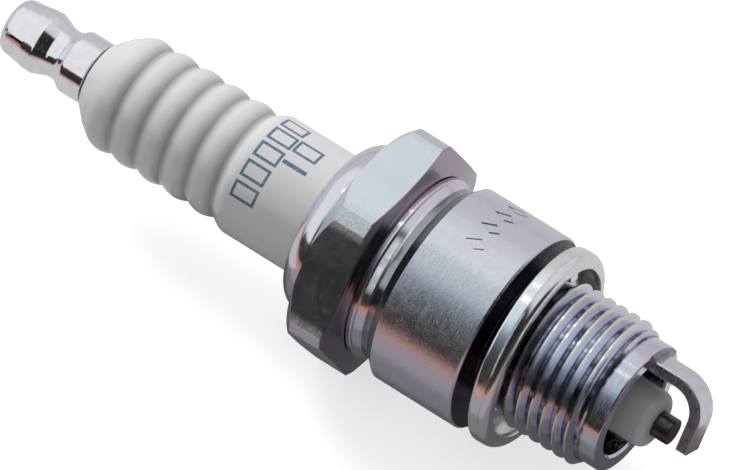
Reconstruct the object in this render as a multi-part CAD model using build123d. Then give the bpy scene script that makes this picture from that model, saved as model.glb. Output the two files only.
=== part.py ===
"""Spark plug, M14 x 1.25 with a gasket seat, in its separate pieces.

Millimetres. The plug lies along X with the firing end at +X, on one flat of its hexagon, with
+Z up. The origin is on the axis, in the plane of the shell's gasket seat. A station is an X
value, so what is behind the seat has a negative station. A bearing is an angle about the axis
in degrees, from +Z towards +Y.
"""

import os
from math import atan2, cos, hypot, radians, sin, tan

from build123d import *

# ---- Driving sizes: metal shell ------------------------------------------------------------
thread_depth_ratio = 0.6134  # of the pitch, for an outside metric thread
thread_diameter = 13.83
thread_pitch = 1.25
thread_root_flat = 0.20
thread_first_crest = 0.78  # station where the crest's helix would start, at crest_bearing
crest_bearing = 56.0
reach = 12.7
rim_length = 1.75
rim_undercut = 0.02
rim_wall = 1.50
rim_edge_break = 0.20
shell_edge_round = 0.08
relief_cut = 0.10
relief_round = 0.10
stamp_count = 4
stamp_pitch = 14.0
stamp_first_bearing = -4.0
stamp_station = -4.5
stamp_length = 2.4
stamp_width = 1.5
stamp_line = 0.24
stamp_depth = 0.09
relief_length = 1.50
thread_end_chamfer = 0.85
seat_width = 2.485
seat_body_length = 9.35
shoulder_length = 0.97
seat_bevel = 0.22
neck_wall = 1.23
neck_length = 1.60
neck_hollow = 0.14
neck_hollow_round = 0.9
bead_height = 0.30
bead_length = 0.60
bead_groove = 0.08
hex_across_flats = 20.6
hex_corner_cut = 0.39
hex_length = 4.85
hex_foot_step = 0.10
hex_front_slope = 14.5
hex_rear_chamfer = 1.05
hood_length = 3.05
hood_round = 2.15
hood_wall = 0.98
relief_wall = 1.05
ledge_step = 1.05
ledge_length = 1.20
shoulder_slope = 30.0

# ---- Driving sizes: insulator --------------------------------------------------------------
insulator_height = 43.75  # seat plane to the insulator's top face
top_land = 0.25
top_edge_round = 0.35
dome_length = 4.55
dome_bulge = 0.22
dome_middle_share = 0.38
dome_round = 1.6
rib_count = 4
rib_pitch = 2.70
rib_slope = 31.0
rib_inset = 0.31
rib_round_share = 0.82
trough_round = 0.35
barrel_diameter = 11.56
barrel_round = 1.4
body_edge_round = 0.2
large_body_step = 1.32
large_body_length = 6.60
large_body_front = 7.20
small_body_front = 1.20
nose_root_step = 0.62
nose_root_round = 0.3
nose_taper = 0.68
nose_taper_round = 2.0
nose_straight = 2.60
nose_projection = 2.30
nose_edge_round = 0.80
cavity_diameter = 4.0
cavity_floor = -1.0

# ---- Driving sizes: electrodes and the conductor inside the insulator ----------------------
electrode_diameter = 2.46
electrode_projection = 1.60
electrode_edge_break = 0.10
electrode_head_length = 1.60
electrode_head_round = 0.15
core_diameter = 1.30
core_tip_cover = 2.20
spark_gap = 1.10
strap_width = 2.60
strap_thickness = 1.10
strap_inset = 0.69
strap_bend_radius = 2.20
strap_overrun = 0.68
strap_bearing = 29.0
strap_edge_round = 0.16
flash_height = 0.36
flash_width = 1.15
flash_inset = 0.05
flash_round = 0.15
flash_before = 15.0
flash_after = 27.0
lower_seal_length = 2.6
resistor_length = 7.5
upper_seal_length = 3.0
stud_embedded_length = 2.2
knurl_count = 4
knurl_pitch = 0.45
knurl_depth = 0.15
collar_diameter = 5.40
collar_thickness = 0.22
stud_thread_diameter = 3.95
stud_thread_pitch = 0.70
stud_thread_root_flat = 0.12
stud_thread_length = 6.0
stud_thread_start = 0.45
stud_end_break = 0.10
stud_knurl_end_break = 0.20

# ---- Driving sizes: terminal nut, measured from its skirt's open end -----------------------
nut_length = 9.0
nut_skirt_diameter = 5.90
nut_skirt_length = 2.30
nut_skirt_edge = 0.12
nut_waist_diameter = 4.74
nut_waist_start = 3.10
nut_waist_end = 3.95
nut_waist_round = 1.4
nut_corner_round = 0.6
nut_head_diameter = 5.90
nut_head_start = 5.45
nut_head_end = 6.45
nut_tip_diameter = 5.04
nut_tip_round = 0.90
nut_step = 0.06
nut_bore_depth = 7.0
nut_slot_width = 0.20
nut_slot_bearing = 122.5

# ---- Driving sizes: seals, rings and gasket -------------------------------------------------
washer_gap = 0.45
washer_width = 0.75
washer_inset = 0.03
gasket_inset = 0.03
gasket_thickness = 2.10
gasket_hole_play = 1.13
gasket_sheet = 0.42
gasket_bite = 0.17
gasket_lip_length = 0.60
gasket_rear_round = 0.40
gasket_front_round = 0.95
gasket_seam_station = 1.22
gasket_seam_width = 0.18
gasket_seam_depth = 0.09
gasket_standoff = 1.35
gasket_tilt = 2.1
gasket_tilt_bearing = -124.0
gasket_lug_count = 3
gasket_lug_width = 1.25
gasket_lug_reach = 0.72
gasket_lug_bearing = 26.0
gasket_lug_lean = 16.0
gasket_lug_round = 0.18
gasket_edge_round = 0.10

# ---- Clearances -----------------------------------------------------------------------------
body_fit = 0.12
lip_gap = 0.08
ledge_fit = 0.10
electrode_fit = 0.03
rod_fit = 0.10
ring_fit = 0.04
talc_skin = 0.02
nut_bore_fit = 0.06
nut_seat_gap = 0.03
core_lift = 0.01  # how far a thread's core reaches into its ridge, so that they fuse
overlap = 0.1  # how far fused solids and cutters run past each other

# ---- Worked out from the sizes above --------------------------------------------------------
thread_radius = thread_diameter / 2
thread_flank = tan(radians(30))
thread_depth = thread_depth_ratio * thread_pitch
thread_root_radius = thread_radius - thread_depth
rim_radius = thread_root_radius - rim_undercut
rim_bore_radius = rim_radius - rim_wall
relief_radius = thread_root_radius - relief_cut
seat_radius = thread_radius + seat_width
mid_bore_radius = relief_radius - relief_wall
ledge_radius = mid_bore_radius - ledge_step
barrel_radius = barrel_diameter / 2
large_body_radius = barrel_radius + large_body_step
big_bore_radius = large_body_radius + body_fit
hood_radius = big_bore_radius + hood_wall
neck_radius = big_bore_radius + neck_wall
bead_radius = neck_radius + bead_height
hex_corner_radius = hex_across_flats / 2 / cos(radians(30)) - hex_corner_cut

neck_front = -seat_body_length
neck_rear = neck_front - neck_length
hex_front = neck_rear - bead_length
hex_rear = hex_front - hex_length
hood_rear = hex_rear - hood_length

small_body_radius = mid_bore_radius - body_fit
nose_root_radius = ledge_radius - nose_root_step
nose_radius = nose_root_radius - nose_taper
nose_end = reach + nose_projection
large_body_rear = -large_body_front - large_body_length
shoulder_rise = tan(radians(shoulder_slope))
cavity_radius = cavity_diameter / 2

electrode_radius = electrode_diameter / 2
electrode_end = nose_end + electrode_projection
electrode_head_end = cavity_floor - electrode_head_length
lower_seal_end = electrode_head_end - lower_seal_length
resistor_end = lower_seal_end - resistor_length
upper_seal_end = resistor_end - upper_seal_length
rod_radius = cavity_radius - rod_fit
stud_tip = upper_seal_end + stud_embedded_length
collar_rear = -insulator_height - collar_thickness
stud_end = collar_rear - stud_thread_length
stud_thread_radius = stud_thread_diameter / 2
nut_base = collar_rear - nut_seat_gap

ring_space = big_bore_radius - barrel_radius
wire_radius = ring_space / 2 - ring_fit
ring_mean_radius = barrel_radius + ring_space / 2
ring_seat = large_body_rear - (large_body_radius - ring_mean_radius) * shoulder_rise
lower_ring_station = ring_seat - wire_radius / cos(radians(shoulder_slope))
upper_ring_station = hood_rear + hood_wall + wire_radius

gasket_radius = seat_radius - gasket_inset
gasket_hole_radius = thread_radius + gasket_hole_play


# ---- Helpers --------------------------------------------------------------------------------
def turned(outline, arc=360.0):
    """A solid turned about the plug's axis from (station, radius, corner round) points."""
    points = [(station, radius) for station, radius, _ in outline]
    rounds = [corner for _, _, corner in outline]
    section = make_face(FilletPolyline(*points, radius=rounds, close=True))
    return revolve(section, axis=Axis.X, revolution_arc=arc)


def rod(start, end, radius):
    """A plain round bar between two stations."""
    return turned([(start, 0, 0), (start, radius, 0), (end, radius, 0), (end, 0, 0)])


def turn_to(shape, bearing):
    """Turn a shape made on the +Z side of the axis to a bearing."""
    return Rot(X=-bearing) * shape


def thread_ridge(radius, depth, pitch, root_flat, start, end):
    """The helical ridge of a right-hand 60 degree thread, to be fused to a core."""
    root = radius - depth
    path = Helix(pitch, end - start, root, center=(start, 0, 0), direction=(1, 0, 0))
    foot = path @ 0
    outward = Vector(0, foot.Y, foot.Z).normalized() * depth
    half_foot = Vector((pitch - root_flat) / 2, 0, 0)
    half_crest = half_foot - Vector(depth * thread_flank, 0, 0)
    corners = [
        foot - half_foot,
        foot + half_foot,
        foot + outward + half_crest,
        foot + outward - half_crest,
    ]
    return sweep(make_face(Polyline(*corners, close=True)), path=path, is_frenet=True)


def ridge_bearing():
    """The bearing at which thread_ridge starts."""
    foot = Helix(1, 1, 1, direction=(1, 0, 0)) @ 0
    return Vector(0, 0, 1).get_signed_angle(Vector(0, foot.Y, foot.Z), Vector(-1, 0, 0))


# ---- Metal shell ----------------------------------------------------------------------------
def shell_thread():
    """The M14 thread ridge, trimmed by the chamfers at its two ends."""
    start = relief_length - thread_pitch
    full_start = relief_length + thread_end_chamfer
    full_end = reach - rim_length - thread_end_chamfer
    end = reach - rim_length
    envelope = turned([
        (relief_length, 0, 0),
        (relief_length, relief_radius, 0),
        (full_start, thread_radius, 0),
        (full_end, thread_radius, 0),
        (end, rim_radius, 0),
        (end, 0, 0),
    ])
    ridge = thread_ridge(
        thread_radius, thread_depth, thread_pitch, thread_root_flat, start, end + thread_pitch
    )
    turn = (crest_bearing - ridge_bearing()) / 360 * thread_pitch
    shift = (thread_first_crest - start + turn) % thread_pitch - thread_pitch
    return (Pos(X=shift) * ridge) & envelope


def hexagon():
    """The hexagon: six flats, corners turned down, and a chamfer at each end."""
    foot = bead_radius + hex_foot_step
    front_drop = (hex_corner_radius - foot) * tan(radians(hex_front_slope))
    turned_bar = turned([
        (hex_front, 0, 0),
        (hex_front, foot, 0),
        (hex_front - front_drop, hex_corner_radius, 0),
        (hex_rear + hex_rear_chamfer, hex_corner_radius, 0),
        (hex_rear, hex_corner_radius - hex_rear_chamfer, 0),
        (hex_rear, 0, 0),
    ])
    side = RegularPolygon(hex_across_flats / 2, 6, major_radius=False)
    return turned_bar & extrude(Plane.YZ.offset(hex_rear) * side, hex_length)


def stamped_marks():
    """Plain lozenge outlines stamped in a row round the seat body, as the cuts they leave."""
    middle_to_side = stamp_length * stamp_width / 2 / hypot(stamp_length, stamp_width)
    inset = 1 - stamp_line / middle_to_side
    corners = [(stamp_length / 2, 0), (0, stamp_width / 2), (-stamp_length / 2, 0)]
    corners.append((0, -stamp_width / 2))
    lozenge = make_face(Polyline(*corners, close=True))
    outline = lozenge - scale(lozenge, inset)
    tool = Pos(X=stamp_station) * extrude(outline, seat_radius + 1)
    skin = turned([
        (stamp_station - stamp_length, seat_radius - stamp_depth, 0),
        (stamp_station - stamp_length, seat_radius + 1, 0),
        (stamp_station + stamp_length, seat_radius + 1, 0),
        (stamp_station + stamp_length, seat_radius - stamp_depth, 0),
    ])
    first = turn_to(tool & skin, stamp_first_bearing)
    return [turn_to(first, index * stamp_pitch) for index in range(stamp_count)]


def metal_shell():
    """Crimp hood, hexagon, shrunk neck, seat body and threaded end, with its bores."""
    thread_end = reach - rim_length
    bead_rear = hex_front + bead_groove
    front = turned([
        (hex_front - overlap, 0, 0),
        (hex_front - overlap, neck_radius, 0),
        (bead_rear, neck_radius, 0),
        (bead_rear, bead_radius, shell_edge_round),
        (neck_rear, bead_radius, shell_edge_round),
        (neck_rear, neck_radius, shell_edge_round),
        (neck_front - neck_length / 2, neck_radius - neck_hollow, neck_hollow_round),
        (neck_front, neck_radius, shell_edge_round),
        (neck_front + shoulder_length, seat_radius, shell_edge_round),
        (-seat_bevel, seat_radius, 0),
        (0, seat_radius - seat_bevel, 0),
        (0, relief_radius, relief_round),
        (relief_length, relief_radius, 0),
        (relief_length + relief_cut, thread_root_radius + core_lift, 0),
        (thread_end, thread_root_radius + core_lift, 0),
        (thread_end, rim_radius, 0),
        (reach, rim_radius, rim_edge_break),
        (reach, 0, 0),
    ])
    hood = turned([
        (hex_rear + overlap, 0, 0),
        (hex_rear + overlap, hood_radius, 0),
        (hood_rear, hood_radius, hood_round),
        (hood_rear, 0, 0),
    ])
    ledge_rear = small_body_front + washer_gap
    bore = turned([
        (hood_rear - 1, 0, 0),
        (hood_rear - 1, barrel_radius + lip_gap, 0),
        (hood_rear + hood_wall, barrel_radius + lip_gap, 0),
        (hood_rear + hood_wall, big_bore_radius, ring_space / 2),
        (-large_body_front + body_fit, big_bore_radius, 0),
        (-large_body_front + body_fit + big_bore_radius - mid_bore_radius, mid_bore_radius, 0),
        (ledge_rear, mid_bore_radius, 0),
        (ledge_rear + ledge_step * shoulder_rise, ledge_radius, 0),
        (ledge_rear + ledge_length, ledge_radius, 0),
        (ledge_rear + ledge_length + ledge_step, rim_bore_radius, 0),
        (reach - rim_edge_break, rim_bore_radius, 0),
        (reach + overlap, rim_bore_radius + rim_edge_break + overlap, 0),
        (reach + 1, 0, 0),
    ])
    return front + shell_thread() + hexagon() + hood - bore - stamped_marks()


# ---- Insulator ------------------------------------------------------------------------------
def insulator():
    """Dome, ribs, barrel, the two bodies inside the shell, and the nose."""
    top = -insulator_height
    land = nut_skirt_diameter / 2 + top_land
    crest = barrel_radius - rib_inset
    half_pitch = rib_pitch / 2
    slope = radians(rib_slope)
    crest_round = rib_round_share * half_pitch / sin(slope)
    peak = crest + crest_round * (1 / cos(slope) - 1)
    trough = peak - half_pitch * tan(slope)
    first_trough = top + dome_length
    first_crest = first_trough - half_pitch
    dome_middle = top + dome_middle_share * (first_crest - top)
    dome_radius = land + dome_middle_share * (peak - land) + dome_bulge
    dome_slope = atan2(peak - dome_radius, first_crest - dome_middle)
    first_round = crest_round * tan(slope) / tan((slope + dome_slope) / 2)
    outline = [
        (top, cavity_radius, 0),
        (top, land, top_edge_round),
        (dome_middle, dome_radius, dome_round),
        (first_crest, peak, first_round),
        (first_trough, trough, trough_round),
    ]
    for index in range(rib_count):
        station = first_trough + index * rib_pitch
        outline.append((station + half_pitch, peak, crest_round))
        outline.append((station + rib_pitch, trough, trough_round))
    last_trough = first_trough + rib_count * rib_pitch
    small_body_rear = -large_body_front + large_body_radius - small_body_radius
    nose_straight_start = nose_end - nose_straight
    shoulder_end = small_body_front + (small_body_radius - nose_root_radius) * shoulder_rise
    outline += [
        (last_trough + (barrel_radius - trough) / tan(slope), barrel_radius, barrel_round),
        (large_body_rear - large_body_step * shoulder_rise, barrel_radius, 0),
        (large_body_rear, large_body_radius, body_edge_round),
        (-large_body_front, large_body_radius, body_edge_round),
        (small_body_rear, small_body_radius, body_edge_round),
        (small_body_front, small_body_radius, 0),
        (shoulder_end, nose_root_radius, nose_root_round),
        (nose_straight_start, nose_radius, nose_taper_round),
        (nose_end, nose_radius, nose_edge_round),
        (nose_end, electrode_radius + electrode_fit, 0),
        (cavity_floor + cavity_radius - electrode_radius, electrode_radius + electrode_fit, 0),
        (cavity_floor, cavity_radius, 0),
    ]
    return turned(outline)


# ---- Centre electrode, seals and resistor ---------------------------------------------------
def centre_electrode():
    """The nickel alloy sheath: a pin with a flanged head and a hole for its core."""
    neck = cavity_floor + rod_radius - electrode_radius - rod_fit
    pin = turned([
        (electrode_head_end, 0, 0),
        (electrode_head_end, rod_radius, electrode_head_round),
        (cavity_floor - rod_fit, rod_radius, 0),
        (neck, electrode_radius, 0),
        (electrode_end, electrode_radius, electrode_edge_break),
        (electrode_end, 0, 0),
    ])
    return pin - rod(electrode_head_end - 1, electrode_end - core_tip_cover, core_diameter / 2)


def copper_core():
    """The copper heart of the centre electrode."""
    return rod(electrode_head_end, electrode_end - core_tip_cover, core_diameter / 2)


def lower_glass_seal():
    """Conductive glass between the electrode's head and the resistor."""
    return rod(lower_seal_end, electrode_head_end, cavity_radius)


def resistor():
    """The carbon resistor in the insulator's cavity."""
    return rod(resistor_end, lower_seal_end, cavity_radius)


def upper_glass_seal():
    """Conductive glass that holds the stud's knurled end."""
    return rod(upper_seal_end, resistor_end, cavity_radius) - stud_rod()


# ---- Terminal stud and nut ------------------------------------------------------------------
def stud_rod():
    """The part of the stud inside the insulator, grooved at the end that the glass grips."""
    outline = [(-insulator_height, 0, 0), (-insulator_height, rod_radius, 0)]
    first = stud_tip - (knurl_count + 0.5) * knurl_pitch
    for index in range(knurl_count):
        station = first + index * knurl_pitch
        outline.append((station, rod_radius, 0))
        outline.append((station + knurl_pitch / 2, rod_radius - knurl_depth, 0))
    outline += [(stud_tip - knurl_pitch / 2, rod_radius, 0), (stud_tip, rod_radius - stud_knurl_end_break, 0)]
    outline.append((stud_tip, 0, 0))
    return turned(outline)


def terminal_stud():
    """The stud: rod, flange on the insulator's top, and M4 thread."""
    depth = thread_depth_ratio * stud_thread_pitch
    root = stud_thread_radius - depth
    chamfer = depth + stud_end_break
    start = collar_rear - stud_thread_start
    flange = rod(collar_rear, -insulator_height, collar_diameter / 2)
    core = rod(stud_end, collar_rear, root + core_lift)
    envelope = turned([
        (stud_end, 0, 0),
        (stud_end, stud_thread_radius - chamfer, 0),
        (stud_end + chamfer, stud_thread_radius, 0),
        (start - depth, stud_thread_radius, 0),
        (start, root, 0),
        (start, 0, 0),
    ])
    ridge = thread_ridge(
        stud_thread_radius,
        depth,
        stud_thread_pitch,
        stud_thread_root_flat,
        stud_end - stud_thread_pitch,
        start + stud_thread_pitch,
    )
    return stud_rod() + flange + core + (ridge & envelope)


def terminal_nut():
    """The cap nut: skirt, waist, head and a sawn tip, bored for the stud."""
    bore = stud_thread_radius + nut_bore_fit
    tip = nut_tip_diameter / 2
    outline = [
        (0, 0, 0),
        (0, nut_skirt_diameter / 2, nut_skirt_edge),
        (nut_skirt_length, nut_skirt_diameter / 2, nut_corner_round),
        (nut_waist_start, nut_waist_diameter / 2, nut_corner_round),
        (nut_waist_end, nut_waist_diameter / 2, nut_waist_round),
        (nut_head_start, nut_head_diameter / 2, nut_corner_round),
        (nut_head_end, nut_head_diameter / 2 - nut_step, 0),
        (nut_head_end, nut_head_diameter / 2 - 2 * nut_step, 0),
        (nut_length, tip, nut_tip_round),
        (nut_length, 0, 0),
    ]
    body = turned([(nut_base - station, radius, corner) for station, radius, corner in outline])
    slot_length = nut_length - nut_head_end
    slot = Box(slot_length + 1, nut_slot_width, nut_head_diameter)
    slot = Pos(X=nut_base - nut_length + (slot_length - 1) / 2) * slot
    return body - rod(nut_base - nut_bore_depth, nut_base + 1, bore) - turn_to(slot, nut_slot_bearing)


# ---- Seals between the insulator and the shell ----------------------------------------------
def packing_washer():
    """The thin ring squeezed between the insulator's shoulder and the shell's ledge."""
    outer = small_body_radius - washer_inset
    inner = outer - washer_width
    insulator_outer = small_body_front + (small_body_radius - outer) * shoulder_rise
    ledge_outer = small_body_front + washer_gap + (mid_bore_radius - outer) * shoulder_rise
    cone = washer_width * shoulder_rise
    return turned([
        (insulator_outer, outer, 0),
        (ledge_outer, outer, 0),
        (ledge_outer + cone, inner, 0),
        (insulator_outer + cone, inner, 0),
    ])


def wire_ring(station):
    """A round steel wire ring around the insulator's barrel."""
    section = Pos(station, ring_mean_radius) * Circle(wire_radius)
    return revolve(section, axis=Axis.X)


def talc_filler():
    """The packed talc between the two wire rings."""
    inner = barrel_radius + talc_skin
    outer = big_bore_radius - talc_skin
    block = turned([
        (upper_ring_station, inner, 0),
        (upper_ring_station, outer, 0),
        (lower_ring_station, outer, 0),
        (lower_ring_station, inner, 0),
    ])
    return block - wire_ring(lower_ring_station) - wire_ring(upper_ring_station)


# ---- Gasket ---------------------------------------------------------------------------------
def gasket_lug():
    """One pinched place in the gasket's front lip, on the +Z side."""
    reach_in = gasket_hole_radius - gasket_lug_reach
    lug = Box(gasket_sheet, gasket_lug_width, gasket_lug_reach + gasket_sheet)
    lug = fillet(lug.edges().filter_by(Axis.X), gasket_lug_round)
    middle = reach_in + (gasket_lug_reach + gasket_sheet) / 2
    return Pos(gasket_thickness - gasket_sheet, 0, middle) * Rot(Y=-gasket_lug_lean) * lug


def gasket():
    """The folded sheet ring, which hangs loose and a little askew on the thread relief."""
    rear_hole = thread_radius - gasket_bite
    lip_rear = gasket_thickness - gasket_lip_length
    band = gasket_radius - gasket_hole_radius
    front_round = min(gasket_front_round, 0.7 * band)
    inside_round = min(front_round - gasket_sheet, 0.8 * (band - 2 * gasket_sheet))
    ring = turned([
        (0, rear_hole, gasket_edge_round),
        (0, gasket_radius, gasket_rear_round),
        (gasket_thickness, gasket_radius, front_round),
        (gasket_thickness, gasket_hole_radius, 0.2 * band),
        (lip_rear, gasket_hole_radius, gasket_edge_round),
        (lip_rear, gasket_hole_radius + gasket_sheet, 0),
        (gasket_thickness - gasket_sheet, gasket_hole_radius + gasket_sheet, 0),
        (gasket_thickness - gasket_sheet, gasket_radius - gasket_sheet, inside_round),
        (gasket_sheet, gasket_radius - gasket_sheet, 0),
        (gasket_sheet, rear_hole, gasket_edge_round),
    ])
    seam = turned([
        (gasket_seam_station, gasket_radius - gasket_seam_depth, 0),
        (gasket_seam_station - gasket_seam_width / 2, gasket_radius + overlap, 0),
        (gasket_seam_station + gasket_seam_width / 2, gasket_radius + overlap, 0),
    ])
    ring -= seam
    for index in range(gasket_lug_count):
        ring += turn_to(gasket_lug(), gasket_lug_bearing + index * 360 / gasket_lug_count)
    middle = gasket_thickness / 2
    tilt = turn_to(Rot(Y=gasket_tilt) * Rot(X=gasket_tilt_bearing), gasket_tilt_bearing)
    return Pos(X=gasket_standoff + middle) * tilt * Pos(X=-middle) * ring


# ---- Ground electrode -----------------------------------------------------------------------
def strap_section_solid():
    """The bent strap on the +Z side, still with sharp edges."""
    outer = rim_radius - strap_inset
    inner = outer - strap_thickness
    face = electrode_end + spark_gap
    back = face + strap_thickness
    points = [
        (reach, outer),
        (back, outer),
        (back, -strap_overrun),
        (face, -strap_overrun),
        (face, inner),
        (reach, inner),
    ]
    rounds = [0, strap_bend_radius + strap_thickness, 0, 0, strap_bend_radius, 0]
    side = make_face(FilletPolyline(*points, radius=rounds, close=True))
    return extrude(Plane.XZ * side, strap_width / 2, both=True)


def ground_electrode():
    """The nickel alloy strap that bends over the centre electrode's tip."""
    strap = strap_section_solid()
    long_edges = [
        edge for edge in strap.edges()
        if abs(abs(edge.center().Y) - strap_width / 2) < 0.01 and edge.center().X > reach + 0.05
    ]
    return turn_to(fillet(long_edges, strap_edge_round), strap_bearing)


def weld_flash():
    """The bead of metal pushed out round the strap's foot when it is welded to the rim."""
    outer = rim_radius - flash_inset
    inner = outer - flash_width
    bead = turned([
        (reach, inner, 0),
        (reach + flash_height, inner + flash_inset, flash_round),
        (reach + flash_height, outer - flash_inset, flash_round),
        (reach, outer, 0),
    ], arc=flash_before + flash_after)
    bead = turn_to(bead, strap_bearing + flash_after - 90)
    return bead - turn_to(strap_section_solid(), strap_bearing)


def build():
    """Every node's solid, by name."""
    return {
        "metal_shell": metal_shell(),
        "insulator": insulator(),
        "centre_electrode": centre_electrode(),
        "copper_core": copper_core(),
        "lower_glass_seal": lower_glass_seal(),
        "resistor": resistor(),
        "upper_glass_seal": upper_glass_seal(),
        "terminal_stud": terminal_stud(),
        "terminal_nut": terminal_nut(),
        "packing_washer": packing_washer(),
        "lower_wire_ring": wire_ring(lower_ring_station),
        "upper_wire_ring": wire_ring(upper_ring_station),
        "talc_filler": talc_filler(),
        "gasket": gasket(),
        "ground_electrode": ground_electrode(),
        "weld_flash": weld_flash(),
    }


os.makedirs("parts", exist_ok=True)
for name, shape in build().items():
    export_step(shape, f"parts/{name}.step")
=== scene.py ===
"""Looks for the spark plug: materials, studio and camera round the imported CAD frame."""

from math import cos, radians, sin

import bpy
from mathutils import Matrix, Vector


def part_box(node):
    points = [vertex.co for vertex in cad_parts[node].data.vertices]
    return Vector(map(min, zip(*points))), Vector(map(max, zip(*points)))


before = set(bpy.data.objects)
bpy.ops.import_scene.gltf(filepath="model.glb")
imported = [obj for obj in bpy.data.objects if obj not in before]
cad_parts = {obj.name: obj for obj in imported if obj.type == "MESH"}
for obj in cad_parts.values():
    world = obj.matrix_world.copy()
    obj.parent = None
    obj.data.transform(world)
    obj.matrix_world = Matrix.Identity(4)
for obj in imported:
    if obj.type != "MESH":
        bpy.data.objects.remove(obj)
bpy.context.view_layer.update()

MM = 0.001

# The floor's height, in metres like every length that Blender is given.
FLOOR_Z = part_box("metal_shell")[0].z

# ---- Places on the plug, in millimetres from the gasket seat along X ----------------------------
BODY_REAR = -8.38
BODY_FRONT = 0.0
HEX_FRONT = -11.55
HEX_REAR = -16.40
NECK_MIDDLE = -10.05
RIBS_REAR = -40.0
RIBS_FRONT = -28.0
THREAD_START = 1.5
THREAD_END = 11.0
# The hexagon's front is a cone: X plus this rise times the radius is the same all over it.
HEX_FRONT_RISE = 0.2586
HEX_FRONT_CONE = -9.28
HEX_FRONT_LIMIT = -11.2
# Radii, in millimetres, over which a zone's colour comes in.
HEX_OUTSIDE = (10.15, 10.40)
HEX_CORNER = (11.10, 11.38)
# Over THREAD_FLANK the painted shade in the thread's roots gives way to the flank's blue.
THREAD_FLANK = (6.16, 6.30)
THREAD_SHOULDER = (6.66, 6.76)
THREAD_CREST = (6.88, 6.91)
# Over RIB_GROOVE_SHADE the painted shade in the rib grooves fades out towards the ribs' crests.
RIB_GROOVE_SHADE = (5.10, 5.42)
# How softly a zone ends, in millimetres.
SOFT_EDGE = 0.2
FIRM_EDGE = 0.1
GAP_EDGE = 0.08
RIB_EDGE = 0.3
NOSE_EDGE = 0.5

# ---- Colours of the shell and of the insulator ------------------------------------------------
ZINC_BLUE = (0.77, 0.78, 0.82)
ZINC_MAUVE = (0.79, 0.76, 0.81)
HEXAGON_GREEN = (0.78, 0.84, 0.84)
CONE_BROWN = (0.44, 0.38, 0.42)
NECK_GREEN = (0.34, 0.38, 0.37)
# Painted shade: near black colour for the seat gap between the body and the thread, where shade falls.
GAP_PAINTED_SHADE = (0.05, 0.05, 0.06)
STAIN_GREY = (0.32, 0.32, 0.33)
# Painted shade: near black colour for the thread's roots, where shade falls between the turns.
ROOT_PAINTED_SHADE = (0.07, 0.06, 0.09)
FLANK_BLUE = (0.68, 0.72, 0.90)
SHOULDER_YELLOW = (0.90, 0.86, 0.56)
CREST_GREY = (0.84, 0.83, 0.84)
RIM_GREEN = (0.72, 0.80, 0.80)
RIM_MAUVE = (0.70, 0.66, 0.78)
GLAZE_COOL = (0.80, 0.81, 0.81)
GLAZE_WARM = (0.84, 0.83, 0.82)
# Painted shade: grey colour laid into the bottoms of the rib grooves, where shade falls.
GROOVE_PAINTED_SHADE = (0.34, 0.32, 0.30)
BARE_CERAMIC = (0.56, 0.55, 0.54)
SPECK_GREY = (0.45, 0.44, 0.42)
INK_BLUE = (0.035, 0.16, 0.24)

# ---- Print on the barrel: plain frames and one bar, placed by angle from +Y towards +Z ----------
FRAME_STATION = -25.4
FRAME_TURNS = [144.5, 124.2, 103.9, 83.6, 63.3]
SECOND_STATION = -22.8
SECOND_FRAME_TURN = 82.5
BAR_TURN = 102.5
FRAME_LENGTH = 2.4
FRAME_WIDTH = 15.5
BAR_WIDTH = 3.4
PRINT_LINE = 0.26
PRINT_LINE_TURN = 2.6
PRINT_EDGE = 0.05
PRINT_EDGE_TURN = 0.01

# ---- Camera -----------------------------------------------------------------------------------
CAMERA_AZIMUTH = 29.73
CAMERA_ELEVATION = 51.95
CAMERA_ROLL = 7.64
CAMERA_DISTANCE = 1.6
CAMERA_LENS = 926.2
SENSOR_WIDTH = 36.0
CAMERA_REACH = 20.0
LOOK_AT = Vector((-14.44, -2.22, 4.10)) * MM


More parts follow.
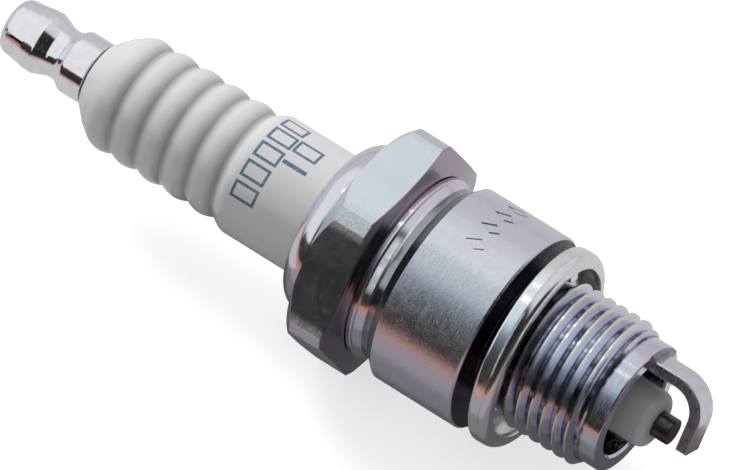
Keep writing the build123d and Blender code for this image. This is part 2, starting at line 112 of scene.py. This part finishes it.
# ---- Node helpers -----------------------------------------------------------------------------
class Surface:
    """One procedural material, with short calls for the nodes it is built from."""

    def __init__(self, name, metallic, roughness):
        self.material = bpy.data.materials.new(name)
        self.material.use_nodes = True
        self.tree = self.material.node_tree
        self.shader = self.tree.nodes["Principled BSDF"]
        self.shader.inputs["Metallic"].default_value = metallic
        self.shader.inputs["Roughness"].default_value = roughness
        place = self.tree.nodes.new("ShaderNodeTexCoord").outputs["Object"]
        self.place = self.scaled(place, (1 / MM, 1 / MM, 1 / MM))
        parts = self.tree.nodes.new("ShaderNodeSeparateXYZ")
        self.tree.links.new(self.place, parts.inputs[0])
        self.x, self.y, self.z = parts.outputs
        self.radius = self.math("SQRT", self.add(self.mul(self.y, self.y), self.mul(self.z, self.z)))

    def feed(self, socket, value):
        if isinstance(value, bpy.types.NodeSocket):
            self.tree.links.new(value, socket)
        elif isinstance(value, tuple) and len(value) == 3 and len(socket.default_value) == 4:
            socket.default_value = (*value, 1.0)
        else:
            socket.default_value = value

    def set(self, **inputs):
        for name, value in inputs.items():
            self.feed(self.shader.inputs[name.replace("_", " ")], value)

    def math(self, operation, first, second=0.0, clamp=False):
        node = self.tree.nodes.new("ShaderNodeMath")
        node.operation = operation
        node.use_clamp = clamp
        self.feed(node.inputs[0], first)
        self.feed(node.inputs[1], second)
        return node.outputs[0]

    def add(self, first, second):
        return self.math("ADD", first, second)

    def mul(self, first, second):
        return self.math("MULTIPLY", first, second)

    def scaled(self, vector, scale):
        node = self.tree.nodes.new("ShaderNodeVectorMath")
        node.operation = "MULTIPLY"
        self.feed(node.inputs[0], vector)
        node.inputs[1].default_value = scale
        return node.outputs[0]

    def around(self, along, round_scale):
        """A vector that changes fast along the plug and slowly round it, for turned marks."""
        node = self.tree.nodes.new("ShaderNodeCombineXYZ")
        self.feed(node.inputs[0], self.mul(self.x, along))
        self.feed(node.inputs[1], self.mul(self.math("DIVIDE", self.y, self.radius), round_scale))
        self.feed(node.inputs[2], self.mul(self.math("DIVIDE", self.z, self.radius), round_scale))
        return node.outputs[0]

    def noise(self, scale, detail=3.0, roughness=0.5, vector=None, distortion=0.0):
        node = self.tree.nodes.new("ShaderNodeTexNoise")
        self.feed(node.inputs["Vector"], vector or self.place)
        node.inputs["Scale"].default_value = scale
        node.inputs["Detail"].default_value = detail
        node.inputs["Roughness"].default_value = roughness
        node.inputs["Distortion"].default_value = distortion
        return node.outputs["Fac"]

    def specks(self, scale, size):
        """1 inside small scattered spots, 0 elsewhere."""
        node = self.tree.nodes.new("ShaderNodeTexVoronoi")
        self.feed(node.inputs["Vector"], self.place)
        node.inputs["Scale"].default_value = scale
        return self.span(node.outputs["Distance"], size, 0.6 * size)

    def span(self, value, low, high, to_low=0.0, to_high=1.0):
        """Maps low..high to to_low..to_high, held at the ends."""
        node = self.tree.nodes.new("ShaderNodeMapRange")
        self.feed(node.inputs["Value"], value)
        node.inputs["From Min"].default_value = low
        node.inputs["From Max"].default_value = high
        node.inputs["To Min"].default_value = to_low
        node.inputs["To Max"].default_value = to_high
        return node.outputs["Result"]

    def between(self, value, low, high, soft):
        """1 between low and high, fading to 0 over soft at each side."""
        rise = self.span(value, low - soft, low)
        fall = self.span(value, high, high + soft, 1.0, 0.0)
        return self.mul(rise, fall)

    def blend(self, factor, first, second):
        node = self.tree.nodes.new("ShaderNodeMix")
        node.data_type = "RGBA"
        self.feed(node.inputs["Factor"], factor)
        self.feed(node.inputs[6], first)
        self.feed(node.inputs[7], second)
        return node.outputs[2]

    def bump(self, *layers):
        """Normal from (height, depth in millimetres) layers."""
        normal = None
        for height, depth in layers:
            node = self.tree.nodes.new("ShaderNodeBump")
            node.inputs["Strength"].default_value = 1.0
            node.inputs["Distance"].default_value = depth * MM
            self.feed(node.inputs["Height"], height)
            if normal:
                self.tree.links.new(normal, node.inputs["Normal"])
            normal = node.outputs["Normal"]
        self.tree.links.new(normal, self.shader.inputs["Normal"])


# ---- Materials --------------------------------------------------------------------------------
def plated_steel():
    """The shell: turned and rolled steel under a pale zinc plating, pitted and scratched, with painted
    shade in the seat gap and the thread roots.
    """
    look = Surface("plated_steel", metallic=1.0, roughness=0.25)
    on_body = look.between(look.x, BODY_REAR, BODY_FRONT, SOFT_EDGE)
    outside = look.span(look.radius, *HEX_OUTSIDE)
    on_hexagon = look.mul(look.between(look.x, HEX_REAR, HEX_FRONT, FIRM_EDGE), outside)
    on_corner = look.mul(on_hexagon, look.span(look.radius, *HEX_CORNER))
    on_thread = look.between(look.x, THREAD_START, THREAD_END, SOFT_EDGE)
    on_rim = look.span(look.x, THREAD_END, THREAD_END + SOFT_EDGE)
    on_gap_shade = look.between(look.x, BODY_FRONT, THREAD_START, GAP_EDGE)
    on_neck = look.between(look.x, NECK_MIDDLE, BODY_REAR - FIRM_EDGE, FIRM_EDGE)
    cone = look.add(look.x, look.mul(look.radius, HEX_FRONT_RISE))
    past_cone = look.span(cone, HEX_FRONT_CONE - FIRM_EDGE, HEX_FRONT_CONE)
    behind_bead = look.span(look.x, HEX_FRONT_LIMIT + FIRM_EDGE, HEX_FRONT_LIMIT)
    on_front = look.mul(past_cone, behind_bead)
    cloud = look.noise(0.35, detail=2.0)
    mottle = look.noise(1.3, detail=6.0, roughness=0.65)
    grit = look.noise(3.2, detail=5.0, roughness=0.75)
    fleck = look.noise(6.0, detail=3.0, roughness=0.6)
    turning = look.noise(1.0, detail=6.0, roughness=0.7, vector=look.around(9.0, 2.0))
    scratch = look.span(look.noise(1.0, detail=3.0, vector=look.around(22.0, 2.2)), 0.58, 0.68)
    pits = look.span(grit, 0.62, 0.74)
    zinc = look.blend(look.span(cloud, 0.35, 0.65), ZINC_BLUE, ZINC_MAUVE)
    cool = look.blend(look.mul(on_hexagon, 0.8), zinc, HEXAGON_GREEN)
    cool = look.blend(on_front, cool, CONE_BROWN)
    cool = look.blend(on_neck, cool, NECK_GREEN)
    # Painted shade: the seat gap between the body's front and the thread's start is coloured near black.
    cool = look.blend(on_gap_shade, cool, GAP_PAINTED_SHADE)
    stained = look.blend(look.mul(pits, 0.35), cool, STAIN_GREY)
    # Painted shade: the thread's roots are coloured near black, fading into the flank's blue.
    flank = look.blend(look.span(look.radius, *THREAD_FLANK), ROOT_PAINTED_SHADE, FLANK_BLUE)
    ridge = look.blend(look.span(look.radius, *THREAD_SHOULDER), flank, SHOULDER_YELLOW)
    crest = look.blend(look.span(look.radius, *THREAD_CREST), ridge, CREST_GREY)
    film = look.span(look.noise(0.8, detail=3.0, distortion=0.6), 0.35, 0.65, 0.35, 1.0)
    rim = look.blend(look.span(cloud, 0.40, 0.60), RIM_GREEN, RIM_MAUVE)
    plain = look.blend(look.mul(on_rim, 0.8), stained, rim)
    look.set(Base_Color=look.blend(look.mul(on_thread, film), plain, crest))
    rough = look.add(look.mul(on_body, 0.07), look.mul(on_corner, 0.12))
    uneven = look.span(look.add(mottle, look.mul(grit, 0.5)), 0.55, 0.95, 0.09, 0.22)
    look.set(Roughness=look.add(rough, uneven))
    marks = look.mul(look.add(on_body, on_rim), look.add(turning, look.mul(scratch, 0.4)))
    pitted = look.mul(grit, on_body)
    flecked = look.mul(fleck, look.add(on_hexagon, look.mul(on_corner, 1.5)))
    ripple = look.noise(1.0, detail=4.0, roughness=0.6, vector=look.around(8.0, 26.0))
    rolled = look.mul(ripple, on_body)
    look.bump((marks, 0.010), (pitted, 0.014), (rolled, 0.016), (flecked, 0.024), (mottle, 0.003))
    return look.material


def glazed_ceramic():
    """The insulator: white alumina under a clear glaze, with painted shade in the rib grooves and a
    printed band of plain marks.
    """
    look = Surface("glazed_ceramic", metallic=0.0, roughness=0.12)
    cloud = look.noise(0.3, detail=2.0)
    speck = look.specks(1.3, 0.045)
    bare = look.span(look.x, BODY_FRONT, BODY_FRONT + NOSE_EDGE)
    glaze = look.blend(look.span(cloud, 0.3, 0.7), GLAZE_COOL, GLAZE_WARM)
    on_ribs = look.between(look.x, RIBS_REAR, RIBS_FRONT, RIB_EDGE)
    # Painted shade in the rib grooves: up to 0.62 of the groove grey at the grooves' bottom, none on the
    # crests.
    groove_shade = look.mul(on_ribs, look.span(look.radius, *RIB_GROOVE_SHADE, 0.62, 0.0))
    shaded_glaze = look.blend(groove_shade, glaze, GROOVE_PAINTED_SHADE)
    body = look.blend(bare, shaded_glaze, BARE_CERAMIC)
    spotted = look.blend(look.mul(speck, 0.5), body, SPECK_GREY)
    ink = look.mul(printed_marks(look), 0.92)
    look.set(Base_Color=look.blend(ink, spotted, INK_BLUE))
    smooth = look.span(look.noise(5.0), 0.3, 0.7, 0.08, 0.16)
    look.set(Roughness=look.add(smooth, look.mul(bare, 0.35)))
    look.bump((look.noise(1.1, detail=2.0), 0.012))
    look.shader.inputs["Subsurface Weight"].default_value = 0.25
    look.shader.inputs["Subsurface Radius"].default_value = (1.0, 0.9, 0.8)
    look.shader.inputs["Subsurface Scale"].default_value = 0.6 * MM
    return look.material


def printed_marks(look):
    """Two rows of plain blue frames and a bar printed round the barrel: 1 on the ink."""
    turn = look.math("ARCTAN2", look.z, look.y)

    def patch(station, middle, length, width):
        along = look.between(look.x, station - length / 2, station + length / 2, PRINT_EDGE)
        low, high = radians(middle - width / 2), radians(middle + width / 2)
        return look.mul(along, look.between(turn, low, high, PRINT_EDGE_TURN))

    def outline(station, middle):
        whole = patch(station, middle, FRAME_LENGTH, FRAME_WIDTH)
        length = FRAME_LENGTH - 2 * PRINT_LINE
        width = FRAME_WIDTH - 2 * PRINT_LINE_TURN
        return look.math("SUBTRACT", whole, patch(station, middle, length, width))

    ink = patch(SECOND_STATION, BAR_TURN, FRAME_LENGTH, BAR_WIDTH)
    ink = look.math("MAXIMUM", ink, outline(SECOND_STATION, SECOND_FRAME_TURN))
    for middle in FRAME_TURNS:
        ink = look.math("MAXIMUM", ink, outline(FRAME_STATION, middle))
    patchy = look.span(look.noise(7.0, detail=3.0), 0.30, 0.42, 0.55, 1.0)
    return look.mul(ink, patchy)


def metal(name, light, dark, smooth, rough, along=18.0, depth=0.003):
    """A machined metal with turning marks and a little staining."""
    look = Surface(name, metallic=1.0, roughness=rough)
    turning = look.noise(1.0, detail=4.0, vector=look.around(along, 2.0))
    stain = look.noise(1.3, detail=5.0, roughness=0.6)
    look.set(Base_Color=look.blend(look.span(stain, 0.35, 0.7), light, dark))
    look.set(Roughness=look.span(look.add(turning, stain), 0.7, 1.3, smooth, rough))
    look.bump((turning, depth), (stain, depth))
    return look.material


def powder(name, light, dark, grain):
    """A packed or fused dull filling."""
    look = Surface(name, metallic=0.0, roughness=0.7)
    fleck = look.noise(grain, detail=4.0, roughness=0.7)
    look.set(Base_Color=look.blend(look.span(fleck, 0.35, 0.65), light, dark))
    look.bump((fleck, 0.02))
    return look.material


def dress(node, material):
    """Gives a CAD node one material all over."""
    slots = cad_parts[node].data.materials
    slots.clear()
    slots.append(material)


def dress_all():
    ring = metal("ring_steel", (0.55, 0.55, 0.57), (0.40, 0.38, 0.36), 0.25, 0.45)
    glass = powder("seal_glass", (0.30, 0.22, 0.18), (0.16, 0.12, 0.11), 6.0)
    dress("metal_shell", plated_steel())
    dress("insulator", glazed_ceramic())
    dress("terminal_nut", metal("nut_plating", (0.90, 0.90, 0.90), (0.80, 0.80, 0.80), 0.06, 0.16))
    dress("terminal_stud", metal("stud_steel", (0.42, 0.41, 0.42), (0.25, 0.23, 0.23), 0.3, 0.5))
    dress("gasket", metal("gasket_steel", (0.92, 0.93, 0.92), (0.84, 0.86, 0.85), 0.12, 0.26))
    dress("centre_electrode", metal("electrode_nickel", (0.13, 0.12, 0.13), (0.06, 0.05, 0.05), 0.2, 0.4))
    dress("ground_electrode", metal("strap_nickel", (0.86, 0.84, 0.88), (0.74, 0.71, 0.77), 0.20, 0.36))
    dress("weld_flash", metal("weld_metal", (0.45, 0.43, 0.45), (0.22, 0.20, 0.20), 0.3, 0.55))
    dress("copper_core", metal("core_copper", (0.85, 0.45, 0.30), (0.65, 0.32, 0.20), 0.25, 0.45))
    dress("lower_glass_seal", glass)
    dress("upper_glass_seal", glass)
    dress("resistor", powder("resistor_carbon", (0.08, 0.08, 0.09), (0.03, 0.03, 0.03), 8.0))
    dress("talc_filler", powder("talc", (0.86, 0.85, 0.80), (0.72, 0.70, 0.66), 5.0))
    dress("packing_washer", ring)
    dress("lower_wire_ring", ring)
    dress("upper_wire_ring", ring)


# ---- Studio -----------------------------------------------------------------------------------
# Lengths are in millimetres. The metal reflects a tunnel round the plug's axis. Each stop has an
# angle from +Y towards +Z, in degrees, and the tunnel's colour there. The tunnel has two stretches
# along X, which fade into each other: TUNNEL_BESIDE at the rear, darkening down the near side, and
# TUNNEL_AHEAD at the front, nearly black on the near side.
TUNNEL_RADIUS = 500.0
TUNNEL_REAR = -900.0
TUNNEL_FRONT = 600.0
TUNNEL_BESIDE = [
    (-4.0, (0.58, 0.56, 0.60)),
    (14.0, (0.60, 0.59, 0.62)),
    (36.0, (0.60, 0.59, 0.63)),
    (48.0, (0.72, 0.77, 0.80)),
    (110.0, (0.70, 0.79, 0.84)),
    (122.0, (0.50, 0.60, 0.70)),
    (132.0, (0.18, 0.23, 0.28)),
    (146.0, (0.06, 0.08, 0.10)),
    (160.0, (0.032, 0.035, 0.038)),
    (186.0, (0.022, 0.022, 0.024)),
]
TUNNEL_AHEAD = [
    (-4.0, (0.62, 0.60, 0.66)),
    (86.0, (0.70, 0.70, 0.74)),
    (96.0, (0.015, 0.015, 0.02)),
    (186.0, (0.012, 0.012, 0.014)),
]
# Where along X the first stretch starts to fade into the second, and where it has.
BESIDE_TO_AHEAD = (-105.0, -55.0)
# A bright strip round the near side of the tunnel: its ends along X and round it, and its glow.
STRIP_ALONG = (8.0, 30.0)
STRIP_ROUND = (104.0, 170.0)
STRIP_GLOW = 1.3
STRIP_EDGE = 16.0
STRIP_EDGE_TURN = 0.12
# A bright sheet bent round the terminal's upper side, close to it.
SHEET_RADIUS = 50.0
SHEET_ROUND = (52.0, 161.0)
SHEET_ALONG = (-130.0, -34.0)
SHEET_COLOUR = (0.86, 0.86, 0.90)
REAR_END = (0.60, 0.60, 0.68)
FRONT_END = (0.03, 0.03, 0.035)
# Cards on the floor: their name, their edges across the plug, counted towards the camera's side,
# their ends along X and their colour.
FLOOR_CARDS = [
    ("card_floor_behind", -500.0, -9.0, -900.0, 600.0, (0.60, 0.59, 0.62)),
    # The under, close and near cards are painted shadow: dark sheets, seen only in reflections, that
    # stand for the shell's shadow on the floor, darkest right under it.
    ("card_floor_shadow_under", -9.0, 9.0, -35.0, 600.0, (0.10, 0.10, 0.11)),
    ("card_floor_shadow_close", 9.0, 18.0, -35.0, 600.0, (0.20, 0.19, 0.21)),
    ("card_floor_shadow_near", 18.0, 38.0, -35.0, 600.0, (0.33, 0.31, 0.35)),
    ("card_floor_terminal", -9.0, 38.0, -900.0, -35.0, (0.60, 0.59, 0.61)),
    ("card_floor_warm", 38.0, 66.0, -900.0, 600.0, (0.56, 0.30, 0.22)),
    ("card_floor_far", 66.0, 500.0, -900.0, 600.0, (0.02, 0.02, 0.02)),
]
# Small bright lamps above: their name, their angle from +Y towards +Z and their width.
LAMPS = [("card_lamp_a", 87.0, 16.0), ("card_lamp_b", 67.0, 12.0)]
LAMP_RADIUS = 450.0
LAMP_STATION = -145.0
LAMP_GLOW = 14.0
# The floor, the sky and the one soft light: metres, degrees and watts.
FLOOR_HALF = 3.0
FLOOR_LIGHT = (0.94, 0.94, 0.94)
FLOOR_SHADE = (0.92, 0.92, 0.92)
FLOOR_GLOW = 0.62
CARD_LIFT = 0.1 * MM
SKY_STRENGTH = 0.34
SOFT_AZIMUTH = 240
SOFT_ELEVATION = 41
SOFT_DISTANCE = 0.7
SOFT_SIZE = 0.5
SOFT_POWER = 3.8
WHITE = (1.0, 1.0, 1.0)
SQUARE = [(-1, -1), (1, -1), (1, 1), (-1, 1)]


def direction(azimuth, elevation):
    """Unit vector from the plug towards a place round it."""
    flat = cos(radians(elevation))
    around = radians(azimuth)
    return Vector((sin(around) * flat, -cos(around) * flat, sin(radians(elevation))))


def staged(name, points, faces, material):
    """An object of the studio, which isn't part of the plug."""
    mesh = bpy.data.meshes.new(name)
    mesh.from_pydata(points, [], faces)
    mesh.materials.append(material)
    piece = bpy.data.objects.new(name, mesh)
    bpy.context.scene.collection.objects.link(piece)
    return piece


def glow(name, colour):
    """An evenly lit card."""
    material = bpy.data.materials.new(name)
    material.use_nodes = True
    tree = material.node_tree
    tree.nodes.clear()
    light = tree.nodes.new("ShaderNodeEmission")
    light.inputs["Color"].default_value = (*colour, 1.0)
    out = tree.nodes.new("ShaderNodeOutputMaterial")
    tree.links.new(light.outputs[0], out.inputs["Surface"])
    return material


def reflected_only(piece):
    """Hides a card from everything but reflections."""
    piece.visible_camera = False
    piece.visible_diffuse = False
    piece.visible_shadow = False
    piece.visible_transmission = False


def bent_sheet(name, radius, first, last, ends, steps, material):
    """A sheet bent round the plug's axis, from one angle and one end to the other."""
    points = []
    for index in range(steps + 1):
        angle = radians(first + (last - first) * index / steps)
        y = radius * cos(angle)
        z = radius * sin(angle)
        points += [Vector((x, y, z)) * MM for x in ends]
    faces = [(2 * i, 2 * i + 1, 2 * i + 3, 2 * i + 2) for i in range(steps)]
    reflected_only(staged(name, points, faces, material))


def tunnel():
    """The half tunnel round the plug, with its stretches, colours and bright strip."""
    first = TUNNEL_BESIDE[0][0]
    last = TUNNEL_BESIDE[-1][0]
    look = Surface("card_tunnel", metallic=0.0, roughness=1.0)
    # The angle is measured from -Y, so that it doesn't jump at the horizon on the near side.
    turn = look.math("ARCTAN2", look.z, look.mul(look.y, -1.0))
    place = look.span(turn, radians(180 - last), radians(180 - first))

    def ramp(stops):
        node = look.tree.nodes.new("ShaderNodeValToRGB")
        look.feed(node.inputs["Fac"], place)
        elements = node.color_ramp.elements
        while len(elements) < len(stops):
            elements.new(0.5)
        for element, (angle, colour) in zip(elements, reversed(stops)):
            element.position = (last - angle) / (last - first)
            element.color = (*colour, 1.0)
        return node.outputs["Color"]

    ahead = look.span(look.x, *BESIDE_TO_AHEAD)
    whole = look.blend(ahead, ramp(TUNNEL_BESIDE), ramp(TUNNEL_AHEAD))
    strip_low, strip_high = (radians(180 - angle) for angle in reversed(STRIP_ROUND))
    strip = look.between(turn, strip_low, strip_high, STRIP_EDGE_TURN)
    strip = look.mul(strip, look.between(look.x, *STRIP_ALONG, STRIP_EDGE))
    glowing = look.tree.nodes.new("ShaderNodeEmission")
    look.feed(glowing.inputs["Color"], look.blend(strip, whole, WHITE))
    look.feed(glowing.inputs["Strength"], look.span(strip, 0.0, 1.0, 1.0, STRIP_GLOW))
    out = look.tree.nodes["Material Output"]
    look.tree.links.new(glowing.outputs[0], out.inputs["Surface"])
    ends = (TUNNEL_REAR, TUNNEL_FRONT)
    bent_sheet("card_tunnel", TUNNEL_RADIUS, first, last, ends, 48, look.material)
    end_card("card_end_rear", TUNNEL_REAR, REAR_END)
    end_card("card_end_front", TUNNEL_FRONT, FRONT_END)


def terminal_sheet():
    """The bent sheet that the terminal and the crimp hood reflect."""
    material = glow("card_sheet", SHEET_COLOUR)
    bent_sheet("card_sheet", SHEET_RADIUS, *SHEET_ROUND, SHEET_ALONG, 16, material)


def end_card(name, x, colour):
    """A card across one end of the tunnel."""
    points = [Vector((x, u * TUNNEL_RADIUS, v * TUNNEL_RADIUS)) * MM for u, v in SQUARE]
    reflected_only(staged(name, points, [(0, 1, 2, 3)], glow(name, colour)))


def lamp_card(name, angle, width):
    """A small bright lamp just inside the tunnel, towards the terminal end."""
    turn = radians(angle)
    out = Vector((0.0, cos(turn), sin(turn)))
    across = Vector((0.0, -sin(turn), cos(turn)))
    along = Vector((1.0, 0.0, 0.0))
    middle = out * LAMP_RADIUS + along * LAMP_STATION
    half = width / 2
    points = [(middle + along * (u * half) + across * (v * half)) * MM for u, v in SQUARE]
    lamp = staged(name, points, [(0, 1, 2, 3)], glow(name, (LAMP_GLOW, LAMP_GLOW, LAMP_GLOW)))
    reflected_only(lamp)


def floor_card(name, start, end, rear, front, colour):
    """A rectangle just above the floor."""
    corners = [(rear, -end), (front, -end), (front, -start), (rear, -start)]
    points = [(x * MM, y * MM, FLOOR_Z + CARD_LIFT) for x, y in corners]
    reflected_only(staged(name, points, [(0, 1, 2, 3)], glow(name, colour)))


def softbox(name, azimuth, elevation, distance, size, power):
    """A square area light that looks at the plug's middle and shows in no reflection."""
    light = bpy.data.lights.new(name, "AREA")
    light.shape = "SQUARE"
    light.size = size
    light.energy = power
    lamp = bpy.data.objects.new(name, light)
    place = direction(azimuth, elevation)
    lamp.location = LOOK_AT + place * distance
    lamp.rotation_euler = place.to_track_quat("Z", "Y").to_euler()
    lamp.visible_camera = False
    lamp.visible_glossy = False
    bpy.context.scene.collection.objects.link(lamp)


def floor():
    """A plain pale floor under the plug."""
    look = Surface("floor_paper", metallic=0.0, roughness=0.9)
    grain = look.noise(0.4, detail=3.0)
    look.set(Base_Color=look.blend(grain, FLOOR_SHADE, FLOOR_LIGHT))
    look.shader.inputs["Specular IOR Level"].default_value = 0.0
    look.shader.inputs["Emission Color"].default_value = (*WHITE, 1.0)
    look.shader.inputs["Emission Strength"].default_value = FLOOR_GLOW
    corners = [(u * FLOOR_HALF, v * FLOOR_HALF, FLOOR_Z) for u, v in SQUARE]
    ground = staged("floor", corners, [(0, 1, 2, 3)], look.material)
    ground.visible_diffuse = False


def studio():
    """Pale floor, soft light from above, and the cards that the metal reflects."""
    world = bpy.data.worlds.new("studio")
    world.use_nodes = True
    sky = world.node_tree.nodes["Background"]
    sky.inputs["Color"].default_value = (*WHITE, 1.0)
    sky.inputs["Strength"].default_value = SKY_STRENGTH
    bpy.context.scene.world = world
    floor()
    tunnel()
    terminal_sheet()
    for card in FLOOR_CARDS:
        floor_card(*card)
    for lamp in LAMPS:
        lamp_card(*lamp)
    softbox("soft_top", SOFT_AZIMUTH, SOFT_ELEVATION, SOFT_DISTANCE, SOFT_SIZE, SOFT_POWER)


def camera():
    """The photograph's view: from above the firing end's near side, with a slight roll."""
    back = direction(CAMERA_AZIMUTH, CAMERA_ELEVATION)
    level = Vector((cos(radians(CAMERA_AZIMUTH)), sin(radians(CAMERA_AZIMUTH)), 0.0))
    upright = back.cross(level)
    right = level * cos(radians(CAMERA_ROLL)) + upright * sin(radians(CAMERA_ROLL))
    up = back.cross(right)
    lens = bpy.data.cameras.new("camera")
    lens.lens = CAMERA_LENS
    lens.sensor_width = SENSOR_WIDTH
    lens.clip_end = CAMERA_REACH
    viewer = bpy.data.objects.new("camera", lens)
    axes = Matrix((right, up, back)).transposed()
    viewer.matrix_world = Matrix.Translation(LOOK_AT + back * CAMERA_DISTANCE) @ axes.to_4x4()
    bpy.context.scene.collection.objects.link(viewer)
    bpy.context.scene.camera = viewer


dress_all()
studio()
camera()
bpy.context.scene.view_settings.view_transform = "Standard"
